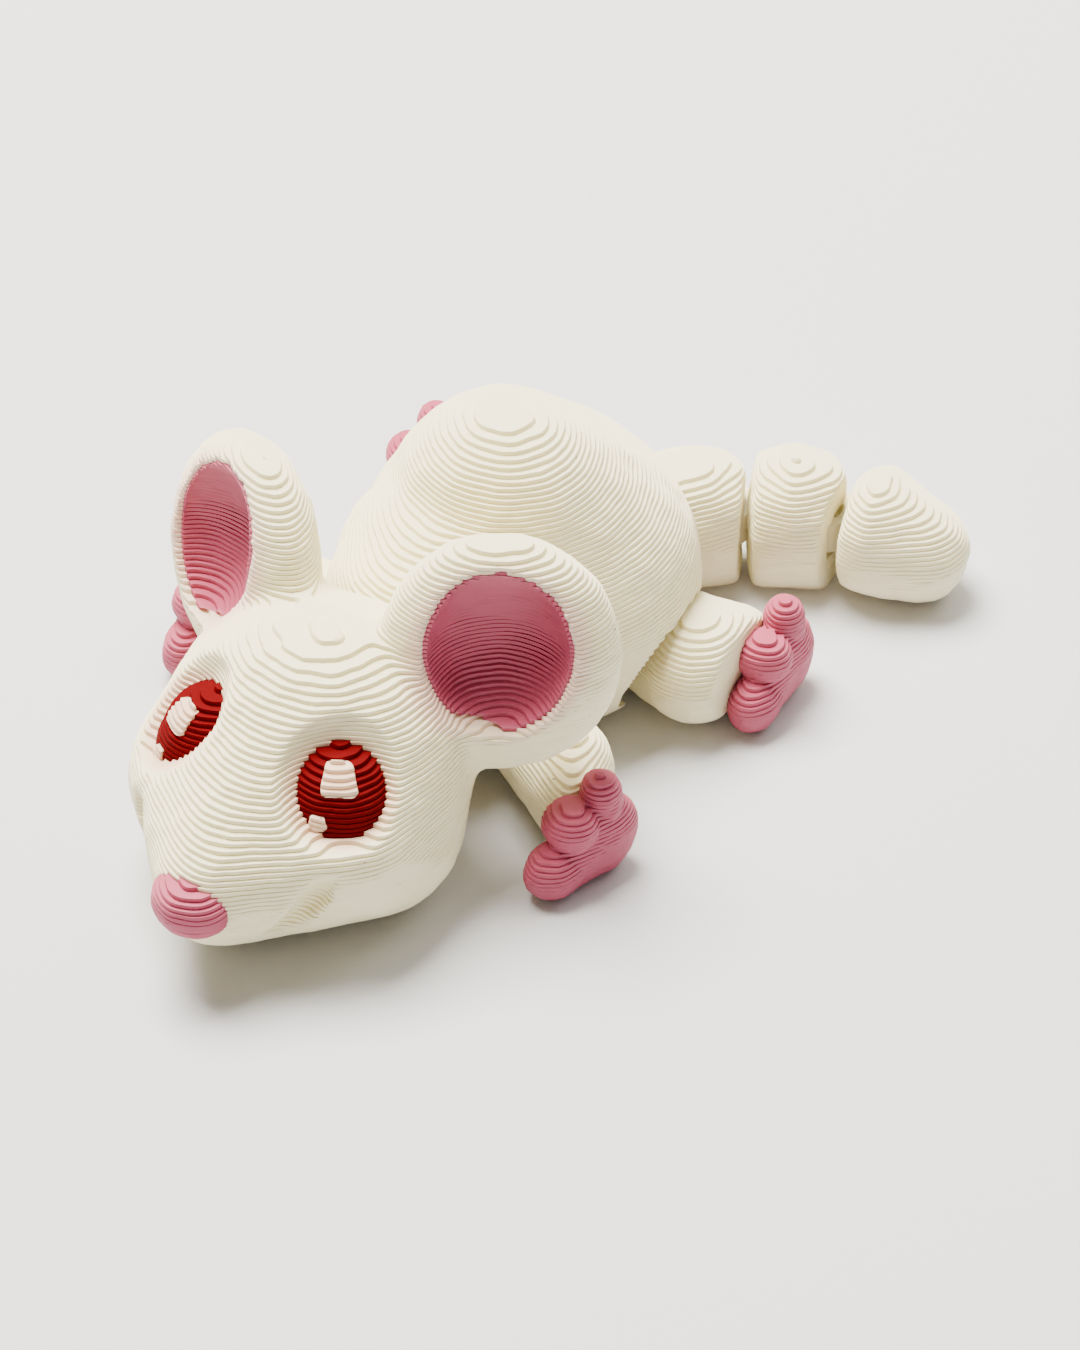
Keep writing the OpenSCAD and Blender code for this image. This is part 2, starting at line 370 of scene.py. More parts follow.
def linear(hex_colour: str) -> tuple[float, float, float, float]:
    """Turns an sRGB hex colour to the linear values that a shader takes.

    Args:
        hex_colour: six hex digits.

    Returns:
        Red, green, blue and alpha 1.
    """
    shares = [int(hex_colour[i : i + 2], 16) / 255 for i in (0, 2, 4)]
    return (*[s / 12.92 if s <= 0.04045 else ((s + 0.055) / 1.055) ** 2.4 for s in shares], 1.0)


def add_node(
    tree: bpy.types.NodeTree, kind: str, inputs: dict | None = None, **settings: object
) -> bpy.types.Node:
    """Adds one shader node.

    Args:
        tree: the material's node tree.
        kind: the node's type name.
        inputs: for each input, by name or number, a value or an output socket to link.
        **settings: the node's own properties.

    Returns:
        The new node.
    """
    node = tree.nodes.new(kind)
    for name, value in settings.items():
        setattr(node, name, value)
    for name, value in (inputs or {}).items():
        if isinstance(value, bpy.types.NodeSocket):
            tree.links.new(value, node.inputs[name])
        else:
            node.inputs[name].default_value = value
    return node


@dataclass(frozen=True)
class Bleed:
    """A tint that another filament leaves in the white one round a place."""

    centre: Triple
    near: float  # out to here the tint is full
    far: float  # beyond here there is none
    tint: str


@dataclass(frozen=True)
class Filament:
    """Polylactic acid filament, melted and laid down in lines: dull, softly lit from within."""

    name: str
    colour: str
    shade: str
    roughness: float = 0.5
    glow: float = 0.2  # share of the light that passes through the skin
    depth: float = 0.8  # how far that light goes
    ior: float = 1.46
    gloss: float = 0.4
    bleeding: float = 0.45  # strength of a bleed where it is full

    def speckled(self, tree: bpy.types.NodeTree, coords: Socket, tone: Socket) -> Socket:
        """Adds the few dark specks of scorched plastic that a hot nozzle leaves.

        Args:
            tree: the material's node tree.
            coords: where on the piece, in metres.
            tone: the colour without them.

        Returns:
            The colour with them.
        """
        cells = add_node(tree, "ShaderNodeTexVoronoi", {"Vector": coords, "Scale": 0.55 / MM})
        near = {0: cells.outputs["Distance"], 1: 0.03}
        dots = add_node(tree, "ShaderNodeMath", near, operation="LESS_THAN").outputs[0]
        shade = {0: dots, 6: tone, 7: linear("9b8f6c")}
        return add_node(tree, "ShaderNodeMix", shade, data_type="RGBA").outputs[2]

    def tinted(
        self, tree: bpy.types.NodeTree, coords: Socket, tone: Socket, bleeds: Sequence[Bleed]
    ) -> Socket:
        """Adds the blush where a coloured filament was laid beside this one.

        Args:
            tree: the material's node tree.
            coords: where on the piece, in metres.
            tone: the colour without it.
            bleeds: the places.

        Returns:
            The colour with it.
        """
        for bleed in bleeds:
            middle = tuple(value * MM for value in bleed.centre)
            away = add_node(tree, "ShaderNodeVectorMath", {0: coords, 1: middle}, operation="DISTANCE")
            span = {
                "Value": away.outputs["Value"],
                "From Min": bleed.near * MM,
                "From Max": bleed.far * MM,
                "To Min": self.bleeding,
                "To Max": 0.0,
            }
            share = add_node(tree, "ShaderNodeMapRange", span, interpolation_type="SMOOTHSTEP")
            blend = {0: share.outputs["Result"], 6: tone, 7: linear(bleed.tint)}
            tone = add_node(tree, "ShaderNodeMix", blend, data_type="RGBA").outputs[2]
        return tone

    def make(self, bleeds: Sequence[Bleed] = ()) -> bpy.types.Material:
        """Builds the finish.

        Args:
            bleeds: where another filament tints this one.

        Returns:
            The material.
        """
        material = bpy.data.materials.new(self.name)
        material.use_nodes = True
        tree = material.node_tree
        tree.nodes.clear()
        coords = add_node(tree, "ShaderNodeTexCoord").outputs["Object"]
        # The melt is mixed unevenly over a few millimetres, which keeps wide areas from looking flat.
        cloud = add_node(
            tree,
            "ShaderNodeTexNoise",
            {"Vector": coords, "Scale": 0.25 / MM, "Detail": 3.0, "Roughness": 0.6},
        )
        tone = add_node(
            tree,
            "ShaderNodeMix",
            {0: cloud.outputs["Fac"], 6: linear(self.colour), 7: linear(self.shade)},
            data_type="RGBA",
        )
        colour = tone.outputs[2]
        if bleeds:
            colour = self.tinted(tree, coords, self.speckled(tree, coords, colour), bleeds)
        # Lines of filament are a few hundredths of a millimetre rough.
        grit = add_node(
            tree, "ShaderNodeTexNoise", {"Vector": coords, "Scale": 6.5 / MM, "Detail": 2.0, "Roughness": 0.5}
        )
        bump = add_node(
            tree, "ShaderNodeBump", {"Height": grit.outputs["Fac"], "Strength": 0.25, "Distance": 0.04 * MM}
        )
        skin = add_node(
            tree,
            "ShaderNodeBsdfPrincipled",
            {
                "Base Color": colour,
                "Roughness": self.roughness,
                "IOR": self.ior,
                "Specular IOR Level": self.gloss,
                "Subsurface Weight": self.glow,
                "Subsurface Scale": self.depth * MM,
                "Subsurface Radius": (1.0, 0.8, 0.6),
                "Normal": bump.outputs["Normal"],
            },
        )
        add_node(tree, "ShaderNodeOutputMaterial", {"Surface": skin.outputs[0]})
        return material


FINISHES = {
    # The body: a warm, matt white that lets each layer's edge show as a soft line.
    Slot.WHITE: Filament("ivory_pla_printed", "fdf4cf", "f6ebbf"),
    # Ears, nose and paws: a dusty rose, painted darker all over to stand in for the shade that falls inside
    # the cupped ears.
    Slot.PINK: Filament("pink_pla_printed", "c05470", "ab445e", glow=0.1),
    # Eyes: a deep red with no gloss, so that only the ivory marks in it look bright.
    Slot.RED: Filament("red_pla_printed", "6c0006", "580004", roughness=0.6, glow=0.0, gloss=0.04),
}


@dataclass
class Workshop:
    """Finishes pieces: slices, scales, dresses and hangs each on its body."""

    press: LayerPress
    materials: dict[Slot, bpy.types.Material]
    count: int = 0

    def finish(
        self, solid: bpy.types.Object, name: str, body: str, slot: Slot, proud: float = 0.0
    ) -> bpy.types.Object:
        """Turns a smooth solid in millimetres into a finished piece of the mouse.

        Args:
            solid: the smooth solid.
            name: the piece's name.
            body: the CAD body that it moves with.
            slot: its filament.
            proud: how far its skin stands out of a skin that it lies flush with.

        Returns:
            The finished piece.
        """
        self.press.press(solid, proud)
        bake_place(solid, Matrix.Scale(MM, 4))
        solid.name = name + "_print"
        solid.data.name = solid.name
        solid.data.materials.clear()
        solid.data.materials.append(self.materials[slot])
        activate(solid)
        bpy.ops.object.shade_smooth_by_angle(angle=math.radians(60))
        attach(solid, body)
        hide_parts(name)
        self.count += 1
        log.info("%s: %d faces, on %s, in %s", solid.name, len(solid.data.polygons), body, slot.value)
        return solid


# ---------- joints ----------


def joint_place(name: str) -> tuple[float, float]:
    """X and Y of a joint of the frame, in millimetres.

    Args:
        name: the joint's name.

    Returns:
        The place.
    """
    for joint in frame["joints"]:
        if joint["name"] == name:
            return joint["pos_m"][0] / MM, joint["pos_m"][1] / MM
    raise KeyError(name)


@dataclass(frozen=True)
class PostAndRing:
    """The captive joint inside each gap: an upright post in a slot, and a ring on a tongue."""

    post: float = 0.7
    play: float = 0.3
    wall: float = 0.55
    tongue: float = 1.8
    low: float = 1.7
    high: float = 3.9

    @property
    def ring(self) -> float:
        """Outer radius of the ring."""
        return self.post + self.play + self.wall

    def slot(self, reach: float, swing: float) -> list[bpy.types.Object]:
        """Cutters for the slot, which opens towards +X from a joint at the origin.

        Args:
            reach: how far it opens.
            swing: how far the tongue swings either way, in degrees.

        Returns:
            The round cutter and the fan-shaped one.
        """
        well = drum((0, 0), self.ring + self.play, self.low, self.high)
        half = self.tongue / 2 + self.play
        arms = []
        for turn in (-swing, swing):
            arm = block((0, -half, self.low), (reach, half, self.high))
            arms.append(bake_place(arm, Matrix.Rotation(math.radians(turn), 4, "Z")))
        return [well, hulled(arms)]

    def pin(self) -> bpy.types.Object:
        """The post, from the slot's floor to its ceiling."""
        return drum((0, 0), self.post, self.low - SIT, self.high + SIT)

    def loop(self, reach: float) -> bpy.types.Object:
        """The ring, on a tongue that reaches towards +X.

        Args:
            reach: the tongue's length.

        Returns:
            The ring and tongue in one.
        """
        low, high = self.low + self.play, self.high - self.play
        ring = drum((0, 0), self.ring, low, high)
        bore = drum((0, 0), self.post + self.play, low - PAST, high + PAST)
        combined(ring, [bore])
        start = self.post + self.play + self.wall / 2
        return joined([ring, block((start, -self.tongue / 2, low), (reach, self.tongue / 2, high))])


JOINT = PostAndRing()
GAP = 0.3


def spun(degrees: float, at: tuple[float, float] = (0, 0), side: Side = Side.LEFT) -> Matrix:
    """The place of a thing that turns about an upright joint.

    Args:
        degrees: its turn, to the left seen from above.
        at: X and Y of the joint on the left side.
        side: the side of the mouse that it is on.

    Returns:
        The matrix, mirrored for the right side.
    """
    matrix = Matrix.Translation((*at, 0)) @ Matrix.Rotation(math.radians(degrees), 4, "Z")
    return matrix if side is Side.LEFT else Matrix.Diagonal((-1, 1, 1, 1)) @ matrix


def above_bed(solid: bpy.types.Object) -> bpy.types.Object:
    """Cuts a solid flat at the bed that it was printed on."""
    return trimmed(solid, (0, 0, 0), (0, 0, -1))


# ---------- torso ----------


@dataclass
class Torso:
    """The hump-backed body, with a pocket for each leg, the tail and the head's ring."""

    haunch: Triple = (7.84, 7.42, 7.14)
    hump: Triple = (5.46, 5.18, 6.44)
    hump_top: float = 15.12
    neck: Triple = (4.76, 4.76, 5.18)
    neck_height: float = 5.88
    neck_swing: float = 22

    def form(self) -> bpy.types.Object:
        """The smooth body before its pockets are cut.

        Returns:
            The solid.
        """
        neck_at = joint_place("neck")
        rump = hulled(
            [
                egg((0, 0.84, 5.32), self.haunch),
                egg((0, -0.7, self.hump_top - self.hump[2]), self.hump),
            ]
        )
        chest = hulled(
            [
                egg((0, 0.28, 5.46), (self.haunch[0] - 0.7, 6.16, 6.3)),
                egg((0, -3.64, 6.16), (6.16, 4.76, 6.16)),
                egg((*neck_at, self.neck_height), self.neck),
            ]
        )
        return above_bed(fused([rump, chest], 0.32, 8))

    def build(self, shop: Workshop, legs: "Sequence[Leg]", tail: "Tail") -> None:
        """Makes the torso.

        Args:
            shop: finishes the piece.
            legs: the legs that need pockets.
            tail: the tail that needs one.
        """
        solid = self.form()
        neck_at = joint_place("neck")
        tail_at = joint_place("tail_root")
        cutters = [
            bake_place(tool, spun(-90, neck_at))
            for tool in JOINT.slot(self.neck[0] + OPEN, self.neck_swing)
        ]
        cutters += tail.room()
        parts = [bake_place(JOINT.pin(), spun(0, neck_at))]
        parts.append(bake_place(JOINT.loop(tail.width / 2 + ROOT), spun(-90, tail_at)))
        for leg in legs:
            at = leg.place
            cutters += leg.room()
            parts.append(bake_place(JOINT.loop(leg.root + ROOT), spun(180, at, leg.side)))
        combined(solid, cutters)
        shop.finish(joined([solid, *parts]), "torso", "torso", Slot.WHITE)


# ---------- head ----------


@dataclass(frozen=True)
class Shine:
    """An ivory mark in an eye, placed and sized across the eye's own face."""

    word: str
    across: float
    up: float
    half_across: float
    half_up: float


@dataclass
class Head:
    """The head, with its cupped ears, set-in eyes and nose, about the neck joint."""

    turn: float = 10
    skull: Triple = (6.86, 6.02, 5.88)
    cheeks: Sequence[tuple[Triple, Triple]] = (
        ((3.36, -9.52, 3.64), (3.92, 4.2, 3.64)),
        ((3.22, -11.34, 4.9), (3.78, 3.78, 3.64)),
    )
    snout: Sequence[tuple[Triple, Triple]] = (
        ((0, -13.86, 3.92), (3.36, 4.06, 3.57)),
        ((0, -15.96, 4.2), (2.59, 2.73, 2.87)),
    )
    crease: tuple[Triple, Triple] = ((4.62, -15.4, 5.6), (2.8, -16.66, 2.66))
    ear_at: Triple = (6.44, -4.06, 10.92)
    ear: Triple = (5.18, 2.45, 5.53)
    ear_turn: float = 30
    ear_lean: float = 12
    ear_sag: float = 0.56  # how much lower the right ear sits than the left one
    cup_at: Triple = (0, -2.31, 0.84)
    cup: Triple = (3.22, 2.8, 3.92)
    lining: float = 0.49
    eye_at: Triple = (3.5, -11.86, 7.56)
    right_eye_width: float = 0.82  # of the left one's
    eye_turn: float = 34
    eye_tilt: float = 44
    eye: Triple = (2.4, 2.7, 1.9)
    eye_sink: float = 0.55
    socket: Triple = (3.1, 3.25, 1.6)
    socket_rise: float = 1.95
    nose_at: Triple = (0, -17.8, 4.45)
    nose: Triple = (1.8, 1.6, 1.35)

    def place(self) -> Matrix:
        """Where the head's own frame is.

        Returns:
            The matrix.
        """
        return spun(self.turn, joint_place("neck"))

    def ear_place(self, side: Side) -> Matrix:
        """Where an ear's own frame is, in the head's.

        Args:
            side: which ear.

        Returns:
            The matrix.
        """
        lean = Matrix.Rotation(math.radians(-self.ear_lean), 4, "X")
        turn = Matrix.Rotation(math.radians(self.ear_turn), 4, "Z")
        matrix = Matrix.Translation(self.ear_at) @ turn @ lean
        if side is Side.LEFT:
            return matrix
        return Matrix.Translation((0, 0, -self.ear_sag)) @ Matrix.Diagonal((-1, 1, 1, 1)) @ matrix

    def eye_place(self, side: Side) -> Matrix:
        """Where an eye's own frame is, in the head's: X across the eye, Y up it and Z out of it.

        Args:
            side: which eye.

        Returns:
            The matrix.
        """
        turn = Matrix.Rotation(math.radians(self.eye_turn), 4, "Z")
        tilt = Matrix.Rotation(math.radians(90 - self.eye_tilt), 4, "X")
        matrix = Matrix.Translation(self.eye_at) @ turn @ tilt
        if side is Side.LEFT:
            return matrix
        narrow = Matrix.Translation((0.25, 0, 0)) @ Matrix.Diagonal((self.right_eye_width, 1, 1, 1))
        return Matrix.Diagonal((-1, 1, 1, 1)) @ matrix @ narrow

    def bleeds(self) -> list[Bleed]:
        """Where the linings and the eyes tint the white of the head.

        Returns:
            The places.
        """
        spots = []
        for side in Side:
            cup = self.place() @ self.ear_place(side) @ Vector(self.cup_at)
            eye = self.place() @ self.eye_place(side) @ Vector((0, 0, 1))
            spots.append(Bleed(tuple(cup), 3.3, 4.5, "e9a3ad"))
            spots.append(Bleed(tuple(eye), 1.9, 2.7, "e08a80"))
        return spots

    def dents(self, side: Side) -> list[bpy.types.Object]:
        """Cutters for the cup of an ear, the socket of an eye and the crease behind the muzzle.

        Args:
            side: which side of the face.

        Returns:
            The cutters, in the head's frame.
        """
        cup = bake_place(egg(self.cup_at, self.cup), self.ear_place(side))
        socket = bake_place(egg((0.2, 0.3, self.socket_rise), self.socket), self.eye_place(side))
        top, end = (Vector(point) for point in self.crease)
        along = (top - end).normalized()
        back = Vector((-0.7, 0.7, 0)).cross(along).normalized()
        out = along.cross(back)
        frame_of_crease = Matrix((back, out, along)).transposed().to_4x4()
        middle = (top + end) / 2 + back * 0.5 + out * 0.36
        groove = bake_place(egg((0, 0, 0), (0.7, 0.62, 2.4)), Matrix.Translation(middle) @ frame_of_crease)
        if side is Side.RIGHT:
            bake_place(groove, Matrix.Diagonal((-1, 1, 1, 1)))
        return [cup, socket, groove]

    def build_skull(self, shop: Workshop, torso: Torso) -> None:
        """Makes the white of the head with both ears.

        Args:
            shop: finishes the piece.
            torso: its round neck end fits into the head.
        """
        face = [egg((0, -7.91, 6.3), self.skull)]
        face += [egg(at, half) for at, half in self.snout]
        for (x, y, z), half in self.cheeks:
            face += [egg((sign * x, y, z), half) for sign in (-1, 1)]
        solids = [hulled(face)]
        for side in Side:
            solids.append(bake_place(egg((0, 0, 0), self.ear), self.ear_place(side)))
        solid = fused(solids, 0.3, 7)
        for side in Side:
            combined(solid, self.dents(side))
        solid = fused([solid], 0.24, 4)
        neck = torso.neck
        cavity = [
            egg((0, 0, torso.neck_height), (neck[0] + GAP, neck[1] + GAP, neck[2] + GAP)),
            drum((0, 0), neck[0] + GAP, -PAST, torso.neck_height),
        ]
        combined(solid, cavity)
        above_bed(solid)
        loop = bake_place(JOINT.loop(neck[0] + GAP + 1.4), spun(-90))
        whole = joined([solid, loop])
        bake_place(whole, self.place())
        shop.finish(whole, "head", "head", Slot.WHITE)

    def build_lining(self, shop: Workshop, side: Side) -> None:
        """Makes the pink inside of an ear.

        Args:
            shop: finishes the piece.
            side: which ear.
        """
        inner = tuple(half - 0.13 for half in self.cup)
        outer = tuple(half + self.lining for half in inner)
        shell = trimmed(egg(self.cup_at, outer, 64), (0, -1.61, 0), (0, -1, 0))
        trimmed(shell, (0, 0, -2.75), (-0.35, 0, -1))
        within = tuple(half - 0.25 for half in self.ear)
        combined(shell, [egg((0, 0, 0), within, 64)], "INTERSECT")
        combined(shell, [egg(self.cup_at, inner, 64)])
        bake_place(shell, self.place() @ self.ear_place(side))
        shop.finish(shell, "ear_lining_" + side.word, "head", Slot.PINK, FLUSH)

    def build_eye(self, shop: Workshop, side: Side, shines: Sequence[Shine]) -> None:
        """Makes an eyeball with its highlight and glint.

        Args:
            shop: finishes the pieces.
            side: which eye.
            shines: the marks in it.
        """
        place = self.place() @ self.eye_place(side)
        ball = bake_place(egg((0, 0, -self.eye_sink), self.eye, 64), place)
        shop.finish(ball, "eye_" + side.word, "head", Slot.RED, FLUSH)
        larger = tuple(half + 0.07 for half in self.eye)
        for shine in shines:
            corners = ((-0.6, -0.5), (0.6, -0.55), (-0.35, 0.6), (0.4, 0.55))
            peg = hulled([drum(corner, 0.4, 0.28, 2.1) for corner in corners])
            size = Matrix.Diagonal((shine.half_across, shine.half_up, 1, 1))
            bake_place(peg, Matrix.Translation((shine.across, shine.up, 0)) @ size)
            patch = combined(egg((0, 0, -self.eye_sink), larger, 64), [peg], "INTERSECT")
            bake_place(patch, place)
            shop.finish(patch, f"eye_{shine.word}_{side.word}", "head", Slot.WHITE, 0.06)

    def build_nose(self, shop: Workshop) -> None:
        """Makes the nose.

        Args:
            shop: finishes the piece.
        """
        ball = bake_place(egg(self.nose_at, self.nose), self.place())
        shop.finish(ball, "nose", "head", Slot.PINK, FLUSH)

    def build(self, shop: Workshop, torso: Torso) -> None:
        """Makes every piece of the head.

        Args:
            shop: finishes the pieces.
            torso: its round neck end fits into the head.
        """
        self.build_skull(shop, torso)
        self.build_nose(shop)
        for side in Side:
            self.build_lining(shop, side)
        # Both eyes shine on the same side, so the marks aren't mirror images.
        left = (Shine("highlight", -0.02, 0.56, 0.74, 0.76), Shine("glint", -0.98, -1.22, 0.38, 0.3))
        right = (Shine("highlight", -0.04, 0.22, 0.86, 0.7), Shine("glint", -0.1, -1.75, 0.33, 0.28))
        self.build_eye(shop, Side.LEFT, left)
        self.build_eye(shop, Side.RIGHT, right)


# ---------- legs ----------


@dataclass
class Leg:
    """A leg and its paw, along +X from an upright joint, drawn for the left side."""

    word: str
    joint: str
    body: str
    side: Side
    turn: float
    root: float
    root_top: float
    paw_x: float
    paw_y: float
    eggs: Sequence[tuple[Triple, Triple]]
    swing: float = 22  # half angle of the slot in the leg
    reach: float = 18  # half angle of the leg's own swing

    @property
    def place(self) -> tuple[float, float]:
        """X and Y of the joint, as if it were on the left side."""
        x, y = joint_place(self.joint)
        return abs(x), y

    def room(self) -> list[bpy.types.Object]:
        """Cutters for the pocket that the leg swings in.

        Returns:
            A round well and the space that the thigh or arm sweeps, in the torso's place.
        """
        sweep = []
        for turn in (-self.reach, 0, self.reach):
            for at, half in self.eggs[:2]:
                roomy = tuple(size + GAP for size in half)
                sweep.append(bake_place(egg(at, roomy, 32), Matrix.Rotation(math.radians(turn), 4, "Z")))
        place = spun(0, self.place, self.side)
        well = drum((0, 0), self.root + GAP, -PAST, self.root_top + GAP)
        return [bake_place(well, place), bake_place(hulled(sweep), place)]

    def build_limb(self, shop: Workshop) -> None:
        """Makes the white of the leg.

        Args:
            shop: finishes the piece.
        """
        limb = hulled([egg(at, half) for at, half in self.eggs])
        trimmed(limb, (self.paw_x, 0, 0), (1, 0, 0))
        solid = above_bed(fused([limb], 0.2, 10))
        slot = JOINT.slot(self.root + OPEN, self.swing)
        combined(solid, [bake_place(tool, spun(180)) for tool in slot])
        whole = joined([solid, JOINT.pin()])
        bake_place(whole, spun(self.turn, self.place, self.side))
        shop.finish(whole, f"{self.word}_leg_{self.side.word}", self.body, Slot.WHITE)

    def build_paw(self, shop: Workshop) -> None:
        """Makes the pink sole and its three toes.

        Args:
            shop: finishes the piece.
        """
        parts = [
            hulled([egg((0.84, 0.98, 2.1), (1.05, 1.89, 2.1)), egg((0.77, -0.84, 1.4), (0.98, 1.68, 1.4))]),
            hulled([egg((0.7, 1.12, 3.08), (1.01, 1.01, 0.98)), egg((0.7, 1.12, 4.41), (0.92, 0.92, 0.92))]),
            egg((0.63, -0.49, 3.29), (1.29, 1.2, 1.12)),
            egg((0.77, -1.4, 1.33), (1.12, 1.51, 1.33)),
        ]
        solid = above_bed(fused(parts, 0.12, 1))
        trimmed(solid, (-0.3, 0, 0), (-1, 0, 0))
        bake_place(solid, Matrix.Translation((self.paw_x, self.paw_y, 0)))
        bake_place(solid, spun(self.turn, self.place, self.side))
        shop.finish(solid, f"{self.word}_paw_{self.side.word}", self.body, Slot.PINK, FLUSH)

    def build(self, shop: Workshop) -> None:
        """Makes both pieces of the leg.

        Args:
            shop: finishes the pieces.
        """
        self.build_limb(shop)
        self.build_paw(shop)


def hind_leg(side: Side, turn: float) -> Leg:
    """A hind leg with its round thigh.

    Args:
        side: which leg.
        turn: its swing to the rear, in degrees.

    Returns:
        The leg.
    """
    eggs = [
        ((0, 0, 2.24), (2.66, 2.66, 2.52)),
        ((2.03, -0.63, 2.8), (2.59, 3.01, 2.66)),
        ((3.22, 0.77, 2.59), (1.33, 1.89, 2.31)),
    ]
    return Leg(
        word="hind",
        joint="hip_" + side.word,
        body="hind_" + side.word,
        side=side,
        turn=turn,
        root=2.66,
        root_top=4.76,
        paw_x=3.85,
        paw_y=1.12,
        eggs=eggs,
    )


def front_leg(side: Side, turn: float) -> Leg:
    """A front leg, longer and thinner than a hind one.

    Args:
        side: which leg.
        turn: its swing to the rear, in degrees.

    Returns:
        The leg.
    """
    eggs = [
        ((0, 0, 2.52), (2.17, 2.17, 2.38)),
        ((3.08, -0.42, 2.66), (2.24, 1.96, 2.52)),
        ((5.25, -1.75, 2.38), (1.26, 1.4, 2.03)),
    ]
    return Leg(
        word="front",
        joint="shoulder_" + side.word,
        body="front_" + side.word,
        side=side,
        turn=turn,
        root=2.17,
        root_top=4.9,
        paw_x=5.74,
        paw_y=-2.38,
        eggs=eggs,
    )


# ---------- tail ----------


@dataclass
class Tail:
    """Three chunky segments in a chain that curls to the mouse's left."""

    headings: Triple = (60, 38, 21)
    width: float = 5.88
    height: float = 6.3
    pitch: float = 4.55
    nose: float = 1.05
    gap: float = 0.18
    swing: float = 24
    spare: float = 2.8  # a slot's extra swing, in degrees
    root_swing: float = 36
    tip: float = 7

    def room(self) -> list[bpy.types.Object]:
        """Cutters for the pocket in the torso that the tail's root swings in.

        Returns:
            A round well and a flare for the sides at each end of the swing.
        """
        half = self.width / 2 + GAP
        cutters = [drum((0, 0), half, -PAST, self.height + GAP)]
        for turn in (-self.root_swing, self.root_swing):
            flare = block((0, -half, -PAST), (self.width, half, self.height + GAP))
            cutters.append(bake_place(flare, spun(90 + turn)))
        return [bake_place(cutter, spun(0, joint_place("tail_root"))) for cutter in cutters]

    def slab(self, x: float, half_x: float, drop: float = 0.0) -> bpy.types.Object:
        """A round slice of the tail.

        Args:
            x: where it is along the tail.
            half_x: half its length along the tail.
            drop: how far its top is below the tail's.

        Returns:
            The slice.
        """
        radius = self.width / 2
        tall = radius * 1.1
        return egg((x, 0, self.height - drop - tall), (half_x, radius - drop * 0.3, tall))

    def blunt(self, solid: bpy.types.Object) -> bpy.types.Object:
        """Cuts a wedge on the rear end, so that the next segment can bend either way.

        Args:
            solid: the segment, drawn along +X from its own joint.

        Returns:
            The same solid.
        """
        for turn in (-self.swing, self.swing):
            way = Vector((math.cos(math.radians(turn)), math.sin(math.radians(turn)), 0))
            trimmed(solid, tuple(Vector((self.pitch, 0, 0)) + way * self.nose), tuple(way))
        return solid

    def segment(self, number: int, solid: bpy.types.Object, shop: Workshop) -> None:
        """Finishes one segment drawn along +X from its own joint.

        Args:
            number: 1, 2 or 3 from the rump.
            solid: its smooth form.
            shop: finishes the piece.
        """
        cutters = []
        parts = []
        if number < 3:
            onward = Matrix.Translation((self.pitch, 0, 0))
            slot = JOINT.slot(self.width / 2 + OPEN, self.swing + self.spare)
            cutters += [bake_place(tool, onward) for tool in slot]
            parts.append(bake_place(JOINT.pin(), onward))
        if number == 1:
            slot = JOINT.slot(self.width / 2 + OPEN, self.root_swing)
            cutters += [bake_place(tool, spun(180)) for tool in slot]
            parts.append(JOINT.pin())
        else:
            parts.append(JOINT.loop(self.nose + GAP + 0.42))
        combined(solid, cutters)
        whole = joined([solid, *parts])
        joint = ("tail_root", "tail_middle", "tail_end")[number - 1]
        name = ("tail_segment_1", "tail_segment_2", "tail_tip")[number - 1]
        bake_place(whole, spun(self.headings[number - 1], joint_place(joint)))
        shop.finish(whole, name, f"tail_{number}", Slot.WHITE)

    def build(self, shop: Workshop) -> None:
        """Makes the three segments.

        Args:
            shop: finishes the pieces.
        """
        radius = self.width / 2
        front = self.nose + self.gap
        rear = (self.pitch + 0.75, 0.6, 0.5)
        first = hulled([self.slab(0, radius), self.slab(3.2, 2.3), self.slab(*rear)])
        second = hulled([self.slab(front + 0.5, 0.5, 0.5), self.slab(3.35, 2.2), self.slab(*rear)])
        last = hulled(
            [
                egg((front + 0.6, 0, 2.75), (0.6, radius - 0.2, 2.8)),
                egg((front + 1.5, 0, 2.95), (1.3, radius, 2.95)),
                egg((self.tip - 2.4, 0, 2.35), (2.4, 2.4, 2.4)),
            ]
        )
        for number, solid in enumerate((first, second, last), 1):
            if number < 3:
                self.blunt(solid)
            self.segment(number, above_bed(fused([solid], 0.2, 6)), shop)


# ---------- stage ----------


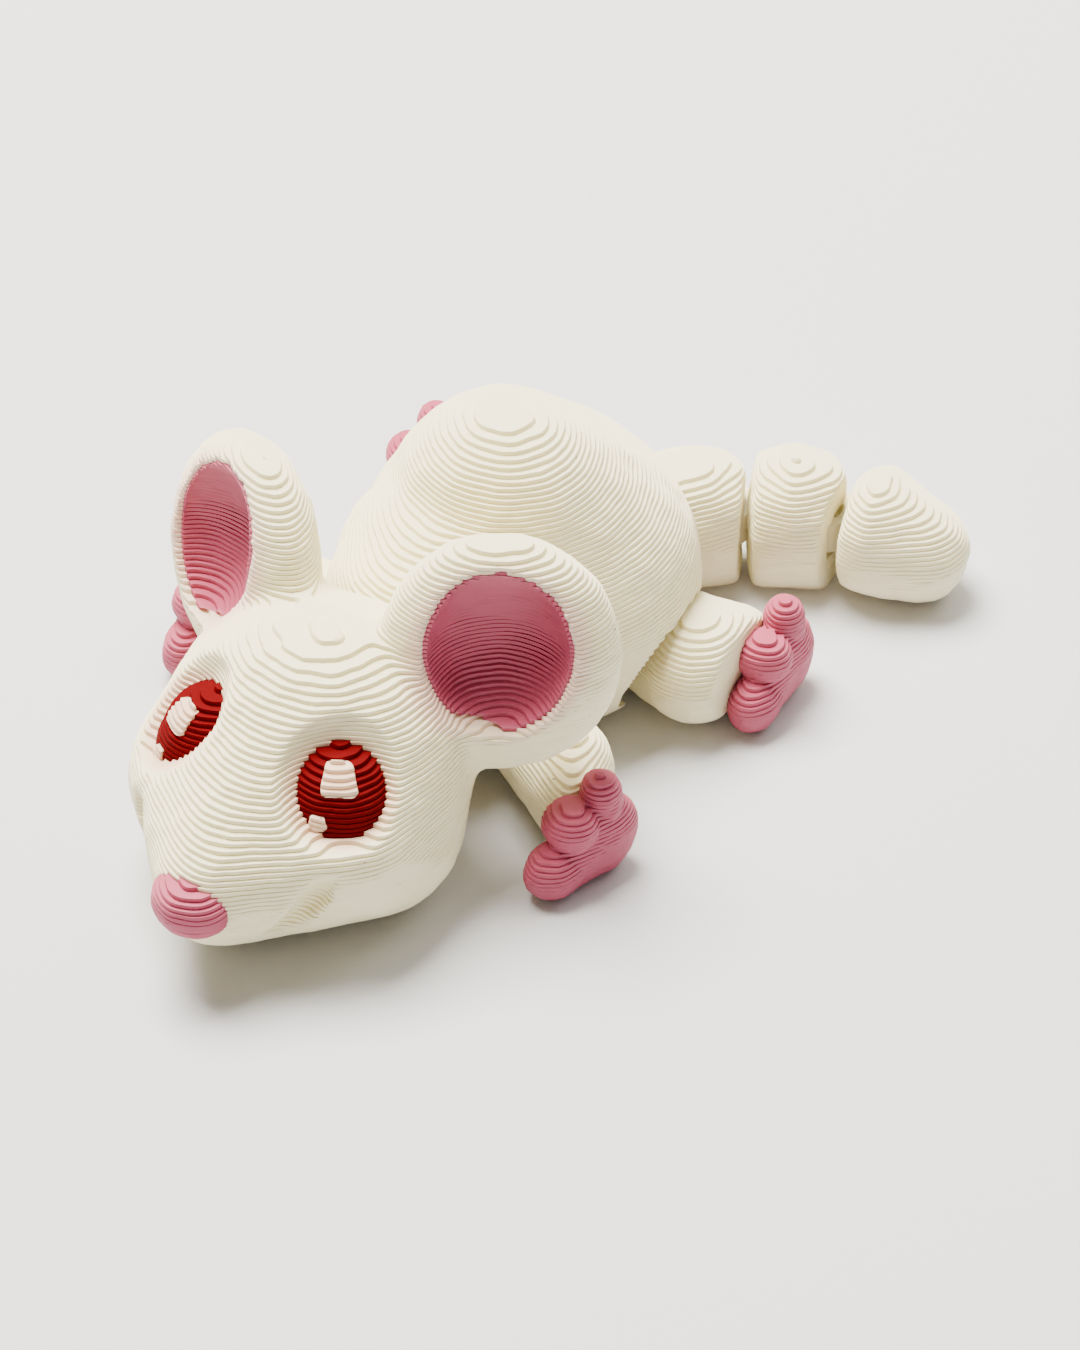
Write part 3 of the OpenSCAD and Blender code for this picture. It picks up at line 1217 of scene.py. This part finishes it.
@dataclass(frozen=True)
class Stage:
    """A plain pale floor, soft lights and the camera."""

    azimuth: float = 42
    elevation: float = 43
    distance: float = 238
    aim: Triple = (1.4, 0, 0)
    lens: float = 177.9
    lamp_distance: float = 364

    def toward(self, azimuth: float, elevation: float) -> Vector:
        """The direction from the mouse towards a place on the studio's dome.

        Args:
            azimuth: degrees from straight in front of the mouse towards its left.
            elevation: degrees above the floor.

        Returns:
            A unit vector.
        """
        a, e = math.radians(azimuth), math.radians(elevation)
        return Vector((math.sin(a) * math.cos(e), -math.cos(a) * math.cos(e), math.sin(e)))

    def aimed(self, thing: bpy.types.Object, way: Vector, distance: float) -> None:
        """Puts a light or camera on a ray from the aim point, looking back along it.

        Args:
            thing: the light or camera.
            way: the ray's direction.
            distance: how far out it stands.
        """
        target = Vector(self.aim) * MM
        thing.location = target + way * distance * MM
        thing.rotation_euler = way.to_track_quat("Z", "Y").to_euler()
        bpy.context.scene.collection.objects.link(thing)

    def lamp(self, name: str, azimuth: float, elevation: float, size: float, watts: float, tint: str) -> None:
        """Adds one square soft light.

        Args:
            name: its name.
            azimuth: where it stands, in degrees from straight in front towards the mouse's left.
            elevation: degrees above the floor.
            size: its width.
            watts: its power.
            tint: its colour as hex.
        """
        data = bpy.data.lights.new(name, "AREA")
        data.size = size * MM
        data.energy = watts
        data.color = linear(tint)[:3]
        self.aimed(bpy.data.objects.new(name, data), self.toward(azimuth, elevation), self.lamp_distance)

    def build(self) -> None:
        """Makes the floor, the lights and the camera."""
        deselect()
        bpy.ops.mesh.primitive_plane_add(size=1.6, location=(0, 0, 0))
        floor = bpy.context.object
        floor.name = "floor"
        paper = bpy.data.materials.new("matt_backdrop_paper")
        paper.use_nodes = True
        skin = paper.node_tree.nodes["Principled BSDF"]
        skin.inputs["Base Color"].default_value = linear("d9dade")
        skin.inputs["Roughness"].default_value = 0.9
        floor.data.materials.append(paper)
        self.lamp("key", -100, 68, 210, 6.0, "fffaf0")
        self.lamp("fill", 70, 40, 364, 0.15, "fbf6ea")
        self.lamp("rim", 175, 50, 308, 1.0, "fffaf0")
        world = bpy.data.worlds.new("studio")
        bpy.context.scene.world = world
        world.use_nodes = True
        world.node_tree.nodes["Background"].inputs["Color"].default_value = linear("f3efe6")
        world.node_tree.nodes["Background"].inputs["Strength"].default_value = 0.17
        camera = bpy.data.cameras.new("camera")
        camera.sensor_fit = "HORIZONTAL"
        camera.sensor_width = 36
        camera.lens = self.lens
        camera.clip_start = 0.01
        camera.clip_end = 10
        holder = bpy.data.objects.new("camera", camera)
        self.aimed(holder, self.toward(self.azimuth, self.elevation), self.distance)
        bpy.context.scene.camera = holder


def main() -> None:
    """Builds the stage and then the mouse, piece by piece."""
    logging.basicConfig(level=logging.INFO, format="%(message)s")
    Stage().build()
    head = Head()
    materials = {slot: finish.make() for slot, finish in FINISHES.items() if slot is not Slot.WHITE}
    materials[Slot.WHITE] = FINISHES[Slot.WHITE].make(head.bleeds())
    shop = Workshop(LayerPress(), materials)
    torso = Torso()
    tail = Tail()
    legs = [
        hind_leg(Side.LEFT, 10),
        hind_leg(Side.RIGHT, 3),
        front_leg(Side.LEFT, -10),
        front_leg(Side.RIGHT, -15),
    ]
    torso.build(shop, legs, tail)
    head.build(shop, torso)
    for leg in legs:
        leg.build(shop)
    tail.build(shop)
    log.info("%d pieces", shop.count)


if __name__ == "__main__":
    main()
